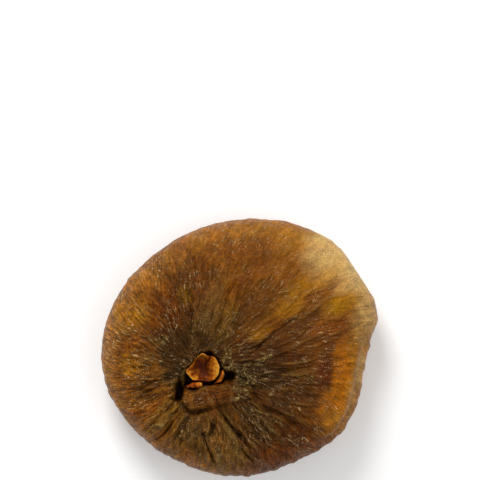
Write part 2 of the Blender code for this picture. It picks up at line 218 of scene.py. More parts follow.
# The skin's colours.
TONES = {
    "brown": srgb(130, 76, 10),
    "tan": srgb(168, 110, 30),
    "cream": srgb(210, 172, 116),
    "gold": srgb(168, 114, 6),
    "amber": srgb(172, 100, 1),
    "rust": srgb(90, 36, 1),
    "russet": srgb(112, 56, 3),
    "plum": srgb(98, 50, 5),
    "umber": srgb(72, 38, 3),
    "slate": srgb(64, 40, 8),
    "olive": srgb(114, 76, 12),
    "moss": srgb(92, 64, 26),
    # This pale tone is also a painted highlight on the tops of two lobes low on the face.
    "haze_and_highlight": srgb(124, 88, 44),
    "dusk": srgb(48, 30, 5),
}

# Blotches of the upper face, in the order of painting: tone, x, y, reach along the pleats and across them,
# and strength.
BLOTCHES = (
    ("umber", 4, -6, 15, 11, 0.85), ("umber", 5, -18, 8, 9, 0.85),
    ("russet", 13.5, -17, 6, 5, 0.7), ("russet", 6, -22, 4, 6, 0.6),
    ("slate", -8, 2, 9, 8, 0.9), ("plum", -8.4, 12.4, 7, 5, 0.8),
    ("umber", -11.2, 11.6, 2.8, 2.4, 0.6), ("umber", -13.4, 7.8, 2.6, 2.6, 0.6),
    ("plum", 1.5, 14.5, 6, 3.5, 0.35), ("russet", -0.8, 18.2, 3, 3, 0.35),
    ("umber", 0.2, 8.6, 3.2, 2, 0.45), ("russet", -15.5, 5.5, 4.5, 7, 0.65),
    ("slate", -13, -1, 5, 5, 0.75), ("umber", 2.4, 7.4, 6, 3, 0.45),
    ("gold", 9, 7.4, 3.4, 1.6, 0.6), ("gold", 4, 3, 2.6, 1.2, 0.5),
    ("gold", 13, 12.4, 6, 2.4, 0.55), ("umber", 7.6, 11.2, 4, 1.4, 0.3),
    ("cream", 17.2, 17.4, 6, 5.2, 0.95), ("cream", 21.8, 12.8, 3.6, 3.2, 0.85),
    ("gold", 15.6, 12.8, 3.4, 1.6, 0.55), ("russet", 13.6, 14.6, 2.6, 1.8, 0.4),
    ("cream", 24, 7, 2.2, 5, 0.65), ("gold", 19, 8.4, 4, 1.8, 0.8),
    ("umber", 11.4, 5.2, 6, 1.5, 0.7), ("umber", 8.6, 1.2, 5, 2.6, 0.6),
    ("russet", 15, 10.9, 4, 0.9, 0.3), ("russet", 16.6, 3.2, 4.5, 2.4, 0.8),
    ("olive", -10.3, 9.8, 2.2, 1.6, 0.8), ("olive", -3, 5.5, 5, 2, 0.6),
    ("haze_and_highlight", -5.4, 7.6, 5, 3, 0.5), ("gold", -20, 6.4, 3, 3.4, 0.45),
    ("tan", -19, 12, 3, 5, 0.3), ("russet", -19.4, 9.4, 2.2, 3, 0.35),
    ("gold", -20.5, -3.2, 2.4, 2, 0.5), ("umber", -17.4, -7.6, 2.8, 2.2, 0.7),
    ("olive", -15, -13.6, 5, 2, 0.6), ("olive", -12.8, -18, 3, 2.6, 0.7),
    ("slate", -9.8, -14.5, 3, 2.4, 0.8), ("umber", -5.8, -14, 3, 1.8, 0.5),
    ("olive", -3.2, -18.5, 4, 2.2, 0.8), ("slate", 2.6, -13.4, 5, 3.2, 0.8),
    ("umber", 9, -14, 6, 4, 0.7), ("umber", 7.5, -4.5, 5, 4, 0.7),
    ("olive", 11, -4.4, 3, 1.2, 0.45), ("rust", 15.9, -4.6, 2, 3.6, 0.9),
    ("amber", 18.9, -5.4, 2, 6.4, 1), ("amber", 16.6, -11, 2.4, 3, 0.75),
    ("tan", 18.4, -13.8, 3.4, 2.2, 0.85), ("tan", 22, -1, 2, 6, 0.75),
    ("tan", 21, -8, 1.6, 4, 0.75), ("russet", -6, -9.2, 4.5, 4.5, 0.6),
    ("haze_and_highlight", -17.3, -2, 1.8, 1.2, 0.8), ("slate", -12.4, -5.4, 2.6, 2.2, 0.9),
    ("dusk", 3.6, -5.2, 5.5, 3, 0.75), ("moss", -7.5, -15.6, 5.5, 6, 0.5),
    # Painted highlights on the tops of two lobes low on the face: the first blotch here and the first on the
    # next line.
    ("haze_and_highlight", -5.6, -17.2, 2, 1.2, 0.8), ("slate", -12.6, -10.8, 2.4, 2, 0.6),
    ("haze_and_highlight", -0.2, -19.4, 2.4, 1.4, 0.7), ("cream", 22.6, 4, 2, 4, 0.3),
    ("cream", 20.8, -9.6, 1.6, 3, 0.3), ("olive", -12.8, -11.8, 3, 2, 0.5),
    ("slate", -2.6, -12.2, 2.6, 1.8, 0.75), ("slate", -7.6, -17.6, 3.4, 1.6, 0.55),
    ("cream", 22.8, -4.6, 1.3, 3.6, 0.6), ("haze_and_highlight", -3.4, -21.2, 2, 2.4, 0.6),
    ("tan", -18.6, 4.6, 1.8, 2, 0.35), ("tan", -12.4, 16.4, 2.2, 2.6, 0.35),
    ("tan", -22.2, 4.6, 2, 3, 0.4), ("umber", 10.4, -10.2, 4, 2.5, 0.4),
    ("tan", 16, -15.2, 2, 1.6, 0.4), ("tan", 9.3, 19.2, 2.5, 3, 0.35),
    ("cream", 18.6, 11, 1.6, 1.4, 0.35), ("dusk", -11.7, -4.2, 2, 2, 0.8),
    ("umber", -10.6, 11.6, 1.8, 1.8, 0.4),
)


def eased(start, end, value):
    """Runs smoothly from 0 at start to 1 at end."""
    share = np.clip((value - start) / (end - start), 0.0, 1.0)
    return share * share * (3.0 - 2.0 * share)


def hump(distance, radius):
    """1 at no distance, falling off softly past the radius."""
    return np.exp(-((distance / radius) ** 2))


def curve_at(points, degrees):
    """The radius at one bearing, on a smooth closed curve through points of bearing and radius."""
    count = len(points)
    here = max((i for i in range(count) if points[i][0] <= degrees), default=-1)
    angles = []
    radii = []
    for step in (-1, 0, 1, 2):
        laps, index = divmod(here + step, count)
        angles.append(points[index][0] + 360.0 * laps)
        radii.append(points[index][1])
    span = angles[2] - angles[1]
    slope_in = (radii[2] - radii[0]) / (angles[2] - angles[0]) * span
    slope_out = (radii[3] - radii[1]) / (angles[3] - angles[1]) * span
    t = (degrees - angles[1]) / span
    return (
        radii[1] * (2 * t**3 - 3 * t**2 + 1)
        + slope_in * (t**3 - 2 * t**2 + t)
        + radii[2] * (3 * t**2 - 2 * t**3)
        + slope_out * (t**3 - t**2)
    )


def closed_curve(points, bearings):
    """The radii at many bearings, on a smooth closed curve through points of bearing and radius."""
    whole = np.arange(361)
    return np.interp(np.degrees(bearings) % 360.0, whole, [curve_at(points, d % 360) for d in whole])


def distance_to(path, places, sided=False):
    """Distances from places to a path of points, and how far along it each nearest point lies, from 0 to 1.
    With sided, the distances are less than zero on the path's right."""
    points = np.array(path)
    best = np.full(len(places), np.inf)
    along = np.zeros(len(places))
    side = np.ones(len(places))
    for index in range(len(points) - 1):
        run = points[index + 1] - points[index]
        offset = places - points[index]
        t = np.clip(offset @ run / (run @ run), 0.0, 1.0)
        gap = np.linalg.norm(offset - t[:, None] * run, axis=1)
        closer = gap < best
        best = np.where(closer, gap, best)
        along = np.where(closer, (index + t) / (len(points) - 1), along)
        side = np.where(closer, np.sign(run[0] * offset[:, 1] - run[1] * offset[:, 0] + 1e-9), side)
    return (best * side if sided else best), along


def toward(bearing):
    """The way over the plan that each bearing points."""
    return np.column_stack((np.cos(bearing), np.sin(bearing)))


def noise_at(points):
    """Smooth noise from -1 to 1 at many points."""
    return np.array([noise.noise(point) for point in points.tolist()])


def noise_over(places, size, level):
    """Smooth noise over the plan, with features of this size, at a level of the noise."""
    return noise_at(np.column_stack((places / size, np.broadcast_to(level, len(places)))))


def gathered_noise(bearing, along, per_turn, lean, breaks, seed):
    """Noise drawn out along the pleats, with a number of cells to the turn and from the stem to the rim."""
    around = toward(bearing - lean * along) * (per_turn / math.tau)
    return noise_at(np.column_stack((around, along * breaks + seed)))


def neck_parts(places):
    """The folded neck above the face round it, and the crease round its free end."""
    gap, along = distance_to((NECK_START, NECK_END), places)
    radius = NECK_RADII[0] + (NECK_RADII[1] - NECK_RADII[0]) * along
    lobe = NECK_RISE * np.sqrt(np.clip(1.0 - (gap / radius) ** 2, 0.0, 1.0)) * (1.0 - NECK_FADE * along)
    crease = NECK_CREASE_DEPTH * hump(gap - radius - NECK_CREASE_OFFSET, NECK_CREASE_WIDTH)
    return lobe, crease * (1.0 - eased(-0.1, 0.45, along))


def fine_creases():
    """Short creases that follow the pleats, strewn over the upper face, closer together below the stem."""
    draw = random.Random(FINE_CREASE_SEED)
    creases = []
    for index in range(FINE_CREASE_COUNT):
        low_side = index % 3 < 2
        heading = math.radians(draw.uniform(-175, 5) if low_side else draw.uniform(5, 185))
        start = draw.uniform(5.0, 15.0)
        length = draw.uniform(3.0, 8.0)
        bend = draw.uniform(-0.16, 0.10)
        steps = np.linspace(0.0, 1.0, 5)
        points = STEM + toward(heading + bend * steps) * (start + length * steps)[:, None]
        half = draw.uniform(0.2, 0.4)
        depth = draw.uniform(0.05, 0.17)
        lip = draw.uniform(0.05, 0.15)
        creases.append((half, depth, lip, points))
    return creases


def wavered(places):
    """Places shifted a little to and fro, so that what is drawn at them isn't straight."""
    shift = [noise_over(places, WAVER_LENGTH, seed) for seed in (3.0, 9.0)]
    return places + WAVER * np.column_stack(shift)


def line_gap(lines, places):
    """Distances from places to the nearest of several creases, in widths of that crease, plain and with the
    sign of the side, and that crease's depth."""
    nearest = np.full(len(places), NO_CREASE)
    sided = np.full(len(places), NO_CREASE)
    deep = np.zeros(len(places))
    for _, depth, _, path in lines:
        gap, along = distance_to(path, places, sided=True)
        taper = 0.45 * (1.0 - eased(0.0, 0.2, along) * eased(0.0, 0.3, 1.0 - along))
        wide = 0.25 + 1.1 * depth
        size = np.abs(gap) / wide + taper
        closer = size < nearest
        sided = np.where(closer, gap / wide + np.sign(gap) * taper, sided)
        deep = np.where(closer, depth, deep)
        nearest = np.where(closer, size, nearest)
    return nearest, sided, deep


def fold_parts(places, folds):
    """How far folds sink the skin, and how far their lips lift it."""
    sunk = np.zeros(len(places))
    lifted = np.zeros(len(places))
    for half, depth, lip, path in folds:
        gap, along = distance_to(path, places)
        ends = eased(0.0, 0.3, along) * eased(0.0, 0.35, 1.0 - along)
        sunk += depth * ends * (0.75 * np.exp(-gap / (0.5 * half)) + 0.25 * hump(gap, 2.4 * half))
        lifted += lip * ends * hump(gap - 2.2 * half, 1.2 * half)
    return sunk, lifted


def crest_parts(places):
    """How far the sharp crests stand up, and how near they lie, from 0 to 1, less beside the low ones."""
    height = np.zeros(len(places))
    nearness = np.zeros(len(places))
    for rise, half, path in CRESTS:
        gap, along = distance_to(path, places)
        end = eased(0.0, 0.1, 1.0 - along)
        height = np.maximum(height, rise * np.exp(-((gap / half) ** 1.5)) * end)
        nearness = np.maximum(nearness, min(1.0, 1.8 * rise) * hump(gap, CREST_REACH) * end)
    return height, nearness


def pit_depth(places):
    """How far the pit round the stem sinks the upper face."""
    outward = places - STEM
    wall = closed_curve(PIT_OUTLINE, np.arctan2(outward[:, 1], outward[:, 0])) - 0.1
    wall += 0.3 * noise_over(places, 1.3, 5.0)
    return PIT_DEPTH * np.exp(-((np.linalg.norm(outward, axis=1) / wall) ** PIT_STEEPNESS))


def hole_depth(places):
    """How far the holes beside the stem sink the upper face."""
    depth = np.zeros(len(places))
    for x, y, half_width, half_length, deep in HOLES:
        reach = ((places[:, 0] - x) / half_width) ** 2 + ((places[:, 1] - y) / half_length) ** 2
        depth += deep * np.exp(-(reach**1.5))
    return depth


def crown_height(places, wavy, share, folds):
    """Heights of the upper face, before its pleats."""
    rise = np.full(len(places), CROWN_RISE)
    for x, y, radius, height in SWELLS:
        rise += height * hump(np.linalg.norm(places - (x, y), axis=1), radius)
    lobe, crease = neck_parts(places)
    sunk, lifted = fold_parts(wavy, folds)
    rise += lobe - crease + lifted - sunk - pit_depth(places) - hole_depth(places) + crest_parts(wavy)[0]
    return EQUATOR + rise * np.sqrt(1.0 - share**CROWN_ROUNDING)


def base_height(places, share):
    """Heights of the lower face, flat where the fruit rests, with the hollow of the eye."""
    height = EQUATOR - BASE_DROP * np.sqrt(1.0 - share**BASE_ROUNDING)
    hollow = EYE_DEPTH * np.exp(-((np.linalg.norm(places - EYE, axis=1) / EYE_RADIUS) ** 4))
    return np.maximum(0.0, height) + hollow


def shoulder_height(bearing, share):
    """The ridge and groove of the pressed shoulder."""
    turn = np.remainder(bearing - SHOULDER_BEARING + math.pi, math.tau) - math.pi
    window = 1.0 - eased(0.55, 1.0, np.abs(turn) / SHOULDER_HALF)
    height, ridge_share, ridge_half = SHOULDER_RIDGE
    depth, groove_share, groove_half = SHOULDER_GROOVE
    ridge = height * hump(share - ridge_share, ridge_half)
    return window * (ridge - depth * hump(share - groove_share, groove_half))


def move_to(shape, points):
    """Puts a shape's corners at points given in millimetres."""
    for vert, point in zip(shape.verts, points.tolist()):
        vert.co = Vector(point) * MM
    shape.normal_update()


def normals_of(shape):
    """The outward direction at each corner of a shape."""
    return np.array([vert.normal for vert in shape.verts])


def skin_tones(places, along, bearing, upper, share):
    """The skin's colour at each corner: brown with a tan rim, and blotches drawn out along the pleats."""
    tones = np.tile(TONES["brown"], (len(places), 1))
    wander = gathered_noise(bearing, along, *WANDER)
    blur = noise_over(places, 2.6, along * 3.0)
    rim = eased(0.82, 0.96, share + 0.05 * wander) * np.where(upper, 1.0, eased(0.5, 0.9, share))
    tones += (np.array(TONES["tan"]) - tones) * (rim * closed_curve(RIM_TAN, bearing))[:, None]
    for tone, x, y, reach, across, strength in BLOTCHES:
        heading = math.atan2(y - STEM[1], x - STEM[0])
        offset = places - (x, y)
        forward = offset @ (math.cos(heading), math.sin(heading))
        sideways = offset @ (-math.sin(heading), math.cos(heading))
        gap = np.hypot(forward / reach, sideways / across) + 0.30 * wander + 0.22 * blur
        weight = strength * (1.0 - eased(0.45, 1.35, gap)) * np.where(upper, 1.0, eased(0.7, 1.0, share))
        tones += (np.array(TONES[tone]) - tones) * weight[:, None]
    return tones


def skin_relief(places, points, bearing, along, share, upper):
    """How far pleats, wrinkles and lumps lift the skin at each corner."""
    puff = np.abs(gathered_noise(bearing, along, *PLEATS)) * 2.0 - 0.45
    pleating = closed_curve(CROWN_PLEATING, bearing)
    rim_pleating = closed_curve(RIM_PLEATING, bearing)
    pleating += (rim_pleating - pleating) * eased(0.75, 0.98, share)
    crown_pleats = PLEAT_HEIGHT * pleating * puff * np.minimum(1.0, share / 0.8) * eased(0.08, 0.3, share)
    base_puff = np.minimum(puff, 0.0) + np.maximum(puff, 0.0) * eased(0.8, 1.0, share)
    base_pleating = BASE_PLEATING + (rim_pleating - BASE_PLEATING) * eased(0.8, 1.0, share)
    base_pleats = PLEAT_HEIGHT * base_pleating * base_puff * eased(0.5, 0.95, share)
    stand = np.where(upper, crown_pleats + shoulder_height(bearing, share), base_pleats)

    on_neck = eased(0.2, 1.0, neck_parts(places)[0]) * upper
    fade = eased(0.10, 0.25, share) * (1.0 - 0.75 * on_neck)
    wrinkling = np.minimum(1.0, share / 0.6)
    wrinkling *= 1.0 + (closed_curve(RIM_WRINKLING, bearing) - 1.0) * eased(0.75, 0.97, share)
    wrinkles = np.abs(gathered_noise(bearing, along, *WRINKLES)) * 2.4 - 0.6
    crinkles = gathered_noise(bearing, along, *CRINKLES)
    stand += (WRINKLE_HEIGHT * wrinkles + CRINKLE_HEIGHT * crinkles) * fade * wrinkling
    for height, size in LUMPS:
        stand += height * noise_at(points / size) * fade
    height, size = NECK_LUMPS
    return stand + height * noise_at(points / size) * on_neck


def fig_body():
    """The fruit: a sphere whose rings become rings of skin, from the stem over the rim to the eye."""
    rings = CROWN_RINGS + BASE_RINGS
    shape = bmesh.new()
    bmesh.ops.create_uvsphere(shape, u_segments=TURNS, v_segments=rings, radius=1.0)
    sphere = np.array([vert.co for vert in shape.verts])
    bearing = np.arctan2(sphere[:, 1], sphere[:, 0])
    ring = np.rint(np.arccos(np.clip(sphere[:, 2], -1.0, 1.0)) / math.pi * rings)
    upper = ring <= CROWN_RINGS
    ring_share = np.where(upper, ring / CROWN_RINGS, (rings - ring) / BASE_RINGS)
    share = np.sin(math.pi / 2 * ring_share ** np.where(upper, CROWN_CROWDING, BASE_CROWDING))
    along = np.where(upper, share, 2.0 - share)
    rim = toward(bearing) * closed_curve(OUTLINE, bearing)[:, None]
    gather = np.where(upper[:, None], STEM, EYE)
    places = gather + (rim - gather) * share[:, None]
    wavy = wavered(places)
    folds = [*FOLDS, *fine_creases()]
    height = np.where(upper, crown_height(places, wavy, share, folds), base_height(places, share))
    points = np.column_stack((places, height))
    move_to(shape, points)
    points += normals_of(shape) * skin_relief(places, points, bearing, along, share, upper)[:, None]
    points[:, 2] = np.maximum(0.0, points[:, 2])
    move_to(shape, points)

    normals = normals_of(shape)
    # Painted shade: the skin's colour darkens where it lies below its surroundings, in hollows and creases,
    # and deep in the pit and the holes.
    near = concavity(points, normals, bearing, ring, 0.7)
    wide = concavity(points, normals, bearing, ring, 2.0)
    pits = pit_depth(places) / PIT_DEPTH + hole_depth(places) / 2.0
    hollow = 0.34 * eased(0.10, 0.50, near) + 0.22 * eased(0.12, 0.55, wide) + 0.75 * pits**3 * upper
    crease_gap, crease_side, crease_depth = line_gap(folds, wavy)
    wear = closed_curve(WEAR, bearing)
    base_wear = BASE_WEAR + (wear - BASE_WEAR) * eased(0.7, 1.0, share)
    wear = np.maximum(wear, hump(np.linalg.norm(places - STEM, axis=1), 10.0))
    middle = (points.max(axis=0) + points.min(axis=0)) / 2
    middle[2] = 0.0
    looks = {
        "tone": skin_tones(places, along, bearing, upper, share),
        "hollow": np.clip(hollow, 0.0, 1.0),
        # Painted highlight: how far the skin stands above its surroundings.
        "painted_crest_highlight": eased(0.05, 0.30, -near),
        "crease_gap": np.where(upper, crease_gap, NO_CREASE),
        "crease_side": np.where(upper, crease_side, NO_CREASE),
        "crease_depth": crease_depth,
        "ridge": crest_parts(wavy)[1] * upper,
        "worn": np.where(upper, wear, base_wear),
        "sugar_and_glint": closed_curve(SUGAR_AND_GLINT, bearing),
        "flow": flow_of(places, gather, normals),
    }
    return shape, middle, looks


def concavity(points, normals, bearing, ring, reach):
    """How far the skin at this reach round each corner stands above it, as a share of the reach."""
    count = int(ring.max()) + 1
    turn = np.rint(bearing / math.tau * TURNS).astype(int) % TURNS
    row = ring.astype(int)
    grid = np.zeros((count, TURNS, 3))
    grid[row, turn] = points
    grid[0] = points[row == 0][0]
    grid[-1] = points[row == count - 1][0]
    steps = np.linalg.norm(np.diff(grid, axis=0), axis=2).mean(axis=1)
    travelled = np.concatenate(([0.0], np.cumsum(steps)))
    girth = np.linalg.norm(grid - np.roll(grid, 1, axis=1), axis=2).mean(axis=1)
    above = np.zeros(grid.shape)
    for index in range(count):
        before = np.abs(travelled - travelled[index] + reach).argmin()
        after = np.abs(travelled - travelled[index] - reach).argmin()
        shift = int(min(TURNS // 8, max(1, round(reach / max(girth[index], 0.001)))))
        round_it = np.roll(grid[index], shift, axis=0) + np.roll(grid[index], -shift, axis=0)
        above[index] = (grid[before] + grid[after] + round_it) / 4 - grid[index]
    return np.einsum("ij,ij->i", above[row, turn], normals) / reach


def flow_of(places, gather, normals):
    """The way the fibres run at each corner: away from the stem or the eye, and along the neck on it."""
    outward = places - gather
    heading = np.arctan2(outward[:, 1], outward[:, 0])
    sideways = np.column_stack((-np.sin(heading), np.cos(heading), np.zeros(len(places))))
    onward = np.cross(sideways, normals)
    sway = 0.22 * noise_over(places, 3.5, normals[:, 2]) - 0.20
    flow = onward * np.cos(sway)[:, None] + sideways * np.sin(sway)[:, None]
    on_neck = (eased(0.1, 0.9, neck_parts(places)[0]) * (normals[:, 2] > 0.0))[:, None]
    run = np.array((*(np.array(NECK_END) - NECK_START), 0.0))
    flow += (run / np.linalg.norm(run) - flow) * on_neck
    return flow / np.maximum(np.linalg.norm(flow, axis=1), 0.001)[:, None]


def finish_mesh(name, shape, middle, looks, material, node):
    """Turns a shape into a piece that stands for a node of the solid, with what its material reads."""
    bmesh.ops.translate(shape, verts=shape.verts, vec=-Vector(middle) * MM)
    mesh = bpy.data.meshes.new(name)
    shape.to_mesh(mesh)
    shape.free()
    mesh.shade_smooth()
    for title, values in looks.items():
        values = np.asarray(values, dtype=np.float32)
        kind, field = ("FLOAT", "value") if values.ndim == 1 else ("FLOAT_VECTOR", "vector")
        mesh.attributes.new(title, kind, "POINT").data.foreach_set(field, values.ravel())
    mesh.materials.append(material)
    piece = bpy.data.objects.new(name, mesh)
    bpy.context.scene.collection.objects.link(piece)
    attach(piece, "root")
    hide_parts(node)
    return piece


# Shader trees are wired with these few helpers. A value is either a socket of another node or a constant.


def feed(tree, socket, value):
    """Wires a value to a socket, or sets the constant there."""
    if isinstance(value, bpy.types.NodeSocket):
        tree.links.new(value, socket)
    elif isinstance(value, tuple) and len(value) == 3 and socket.type == "RGBA":
        socket.default_value = (*value, 1.0)
    else:
        socket.default_value = value


def new_node(tree, kind, inputs, **settings):
    """A node with its settings, and its inputs fed by name or number."""
    node = tree.nodes.new("ShaderNode" + kind)
    for title, value in settings.items():
        setattr(node, title, value)
    for title, value in inputs.items():
        feed(tree, node.inputs[title], value)
    return node


def maths(tree, operation, first, second=0.0):
    """One step of arithmetic."""
    return new_node(tree, "Math", {0: first, 1: second}, operation=operation).outputs[0]


def times(tree, first, second):
    """Two values multiplied."""
    return maths(tree, "MULTIPLY", first, second)


def plus(tree, first, second):
    """Two values added."""
    return maths(tree, "ADD", first, second)


def ranged(tree, value, low, high, out_low=0.0, out_high=1.0):
    """A value moved smoothly from one range to another, and held at its ends."""
    inputs = {"Value": value, "From Min": low, "From Max": high, "To Min": out_low, "To Max": out_high}
    return new_node(tree, "MapRange", inputs, interpolation_type="SMOOTHSTEP").outputs["Result"]


def mixed(tree, factor, first, second, blend="MIX"):
    """Two colours mixed by a factor."""
    inputs = {0: factor, 6: first, 7: second}
    return new_node(tree, "Mix", inputs, data_type="RGBA", blend_type=blend).outputs[2]


def shaded(tree, colour, change):
    """A colour made lighter or darker by a share of itself."""
    return mixed(tree, 1.0, colour, plus(tree, change, 1.0), "MULTIPLY")


def tinted(tree, colour, mask, strength, tint):
    """A colour with a tint laid over it where a mask says."""
    return mixed(tree, times(tree, mask, strength), colour, tint)


def combined(tree, operation, first, second):
    """Two vectors put together."""
    return new_node(tree, "VectorMath", {0: first, 1: second}, operation=operation).outputs[0]


def noisy(tree, vector, scale, detail=3.0, roughness=0.6, distortion=0.0):
    """Noise from 0 to 1."""
    inputs = {"Vector": vector, "Scale": scale, "Detail": detail, "Roughness": roughness}
    return new_node(tree, "TexNoise", inputs | {"Distortion": distortion}).outputs["Fac"]


def attribute(tree, name, output="Fac"):
    """A value that the piece's mesh carries."""
    return new_node(tree, "Attribute", {}, attribute_name=name).outputs[output]


def new_group(name, inputs, outputs):
    """An empty node group with named inputs and outputs, what it is given and its output node."""
    group = bpy.data.node_groups.new(name, "ShaderNodeTree")
    for title, kind in inputs.items():
        group.interface.new_socket(title, in_out="INPUT", socket_type="NodeSocket" + kind)
    for title in outputs:
        group.interface.new_socket(title, in_out="OUTPUT", socket_type="NodeSocketFloat")
    return group, group.nodes.new("NodeGroupInput").outputs, group.nodes.new("NodeGroupOutput")


def drawn_out_noise():
    """Noise drawn out along the flow of the skin: the mean of five samples in a row."""
    inputs = {"Place": "Vector", "Flow": "Vector"}
    inputs.update(dict.fromkeys(("Step", "Size", "Low", "High"), "Float"))
    group, given, made = new_group("drawn_out_noise", inputs, ["Value"])
    total = 0.0
    for place_in_row in (-2.0, -1.0, 0.0, 1.0, 2.0):
        reach = {0: given["Flow"], "Scale": times(group, given["Step"], place_in_row)}
        offset = new_node(group, "VectorMath", reach, operation="SCALE").outputs[0]
        spot = combined(group, "ADD", given["Place"], offset)
        total = plus(group, total, noisy(group, spot, given["Size"], 1.5, 0.5))
    mean = maths(group, "DIVIDE", total, 5.0)
    feed(group, made.inputs["Value"], ranged(group, mean, given["Low"], given["High"]))
    return group


def dry_mottle():
    """Blotches, grain and pores of dry plant tissue, as a share of light and as a height."""
    group, given, made = new_group("dry_mottle", {"Vector": "Vector", "Size": "Float"}, ["Light", "Height"])
    broad = noisy(group, given["Vector"], given["Size"], 4.0, 0.6, 0.4)
    fine = noisy(group, given["Vector"], times(group, given["Size"], 4.0), 3.0, 0.7)
    both = plus(group, times(group, fine, 0.45), times(group, broad, 0.55))
    feed(group, made.inputs["Light"], ranged(group, both, 0.36, 0.64))
    feed(group, made.inputs["Height"], fine)
    return group


# How much a smooth part of any of these dry finishes mirrors.
DULL = 0.08

DRAWN_NOISE = drawn_out_noise()
MOTTLE = dry_mottle()


def new_material(name, constants):
    """A material whose shader has these constants, its tree and its shader."""
    material = bpy.data.materials.new(name)
    material.use_nodes = True
    shader = material.node_tree.nodes["Principled BSDF"]
    for title, value in constants.items():
        shader.inputs[title].default_value = value
    return material, material.node_tree, shader


def bumped(tree, shader, height, distance):
    """Gives a shader fine relief."""
    bump = new_node(tree, "Bump", {"Strength": 1.0, "Distance": distance, "Height": height})
    feed(tree, shader.inputs["Normal"], bump.outputs["Normal"])


def bent_flow(tree, place, flow, size, strength):
    """The flow of the skin, turned to and fro by noise."""
    shifts = new_node(tree, "TexNoise", {"Vector": place, "Scale": size}).outputs["Color"]
    turned = combined(tree, "SUBTRACT", shifts, (0.5, 0.5, 0.5))
    return combined(tree, "ADD", flow, combined(tree, "MULTIPLY", turned, (2.0 * strength,) * 3))


def drawn_out(tree, place, flow, step, size, low=0.38, high=0.62):
    """The noise drawn out along the flow, with a step in millimetres between its samples."""
    inputs = {"Place": place, "Flow": flow, "Step": step * MM, "Size": size, "Low": low, "High": high}
    return new_node(tree, "Group", inputs, node_tree=DRAWN_NOISE).outputs[0]


def painted_crease_shade(tree):
    """How dark the painted shade lines in the creases are, darker in the deeper ones."""
    side = maths(tree, "ABSOLUTE", attribute(tree, "crease_side"))
    crease_shade = ranged(tree, side, 0.02, 0.15, 0.75, 0.0)
    crease_shade = times(tree, crease_shade, ranged(tree, attribute(tree, "crease_gap"), 0.22, 0.42, 1.0, 0.0))
    return times(tree, crease_shade, ranged(tree, attribute(tree, "crease_depth"), 0.05, 0.60, 0.25, 1.0))


def sugar_and_glint_flecks(tree, place, flow):
    """Painted glints and short hair-like highlights, with specks of sugar, in patches."""
    bent = bent_flow(tree, place, flow, 500.0, 1.3)
    glints = drawn_out(tree, place, bent, 0.20, 2800.0, 0.545, 0.60)
    specks = ranged(tree, noisy(tree, place, 1700.0, 2.0, 0.7), 0.64, 0.74, 0.0, 0.8)
    hairs = times(tree, drawn_out(tree, place, flow, 0.42, 3000.0, 0.54, 0.59), 0.9)
    flecks = maths(tree, "MAXIMUM", maths(tree, "MAXIMUM", glints, specks), hairs)
    patches = ranged(tree, noisy(tree, place, 230.0, 2.5, 0.6), 0.40, 0.62, 0.05, 1.0)
    return times(tree, flecks, times(tree, patches, attribute(tree, "sugar_and_glint")))


def crest_curls(tree, place, ridge):
    """Thin curled lines beside the crests."""
    level = plus(tree, noisy(tree, place, 900.0, 1.5, 0.5, 0.8), -0.5)
    return times(tree, ridge, ranged(tree, maths(tree, "ABSOLUTE", level), 0.02, 0.07, 1.0, 0.0))


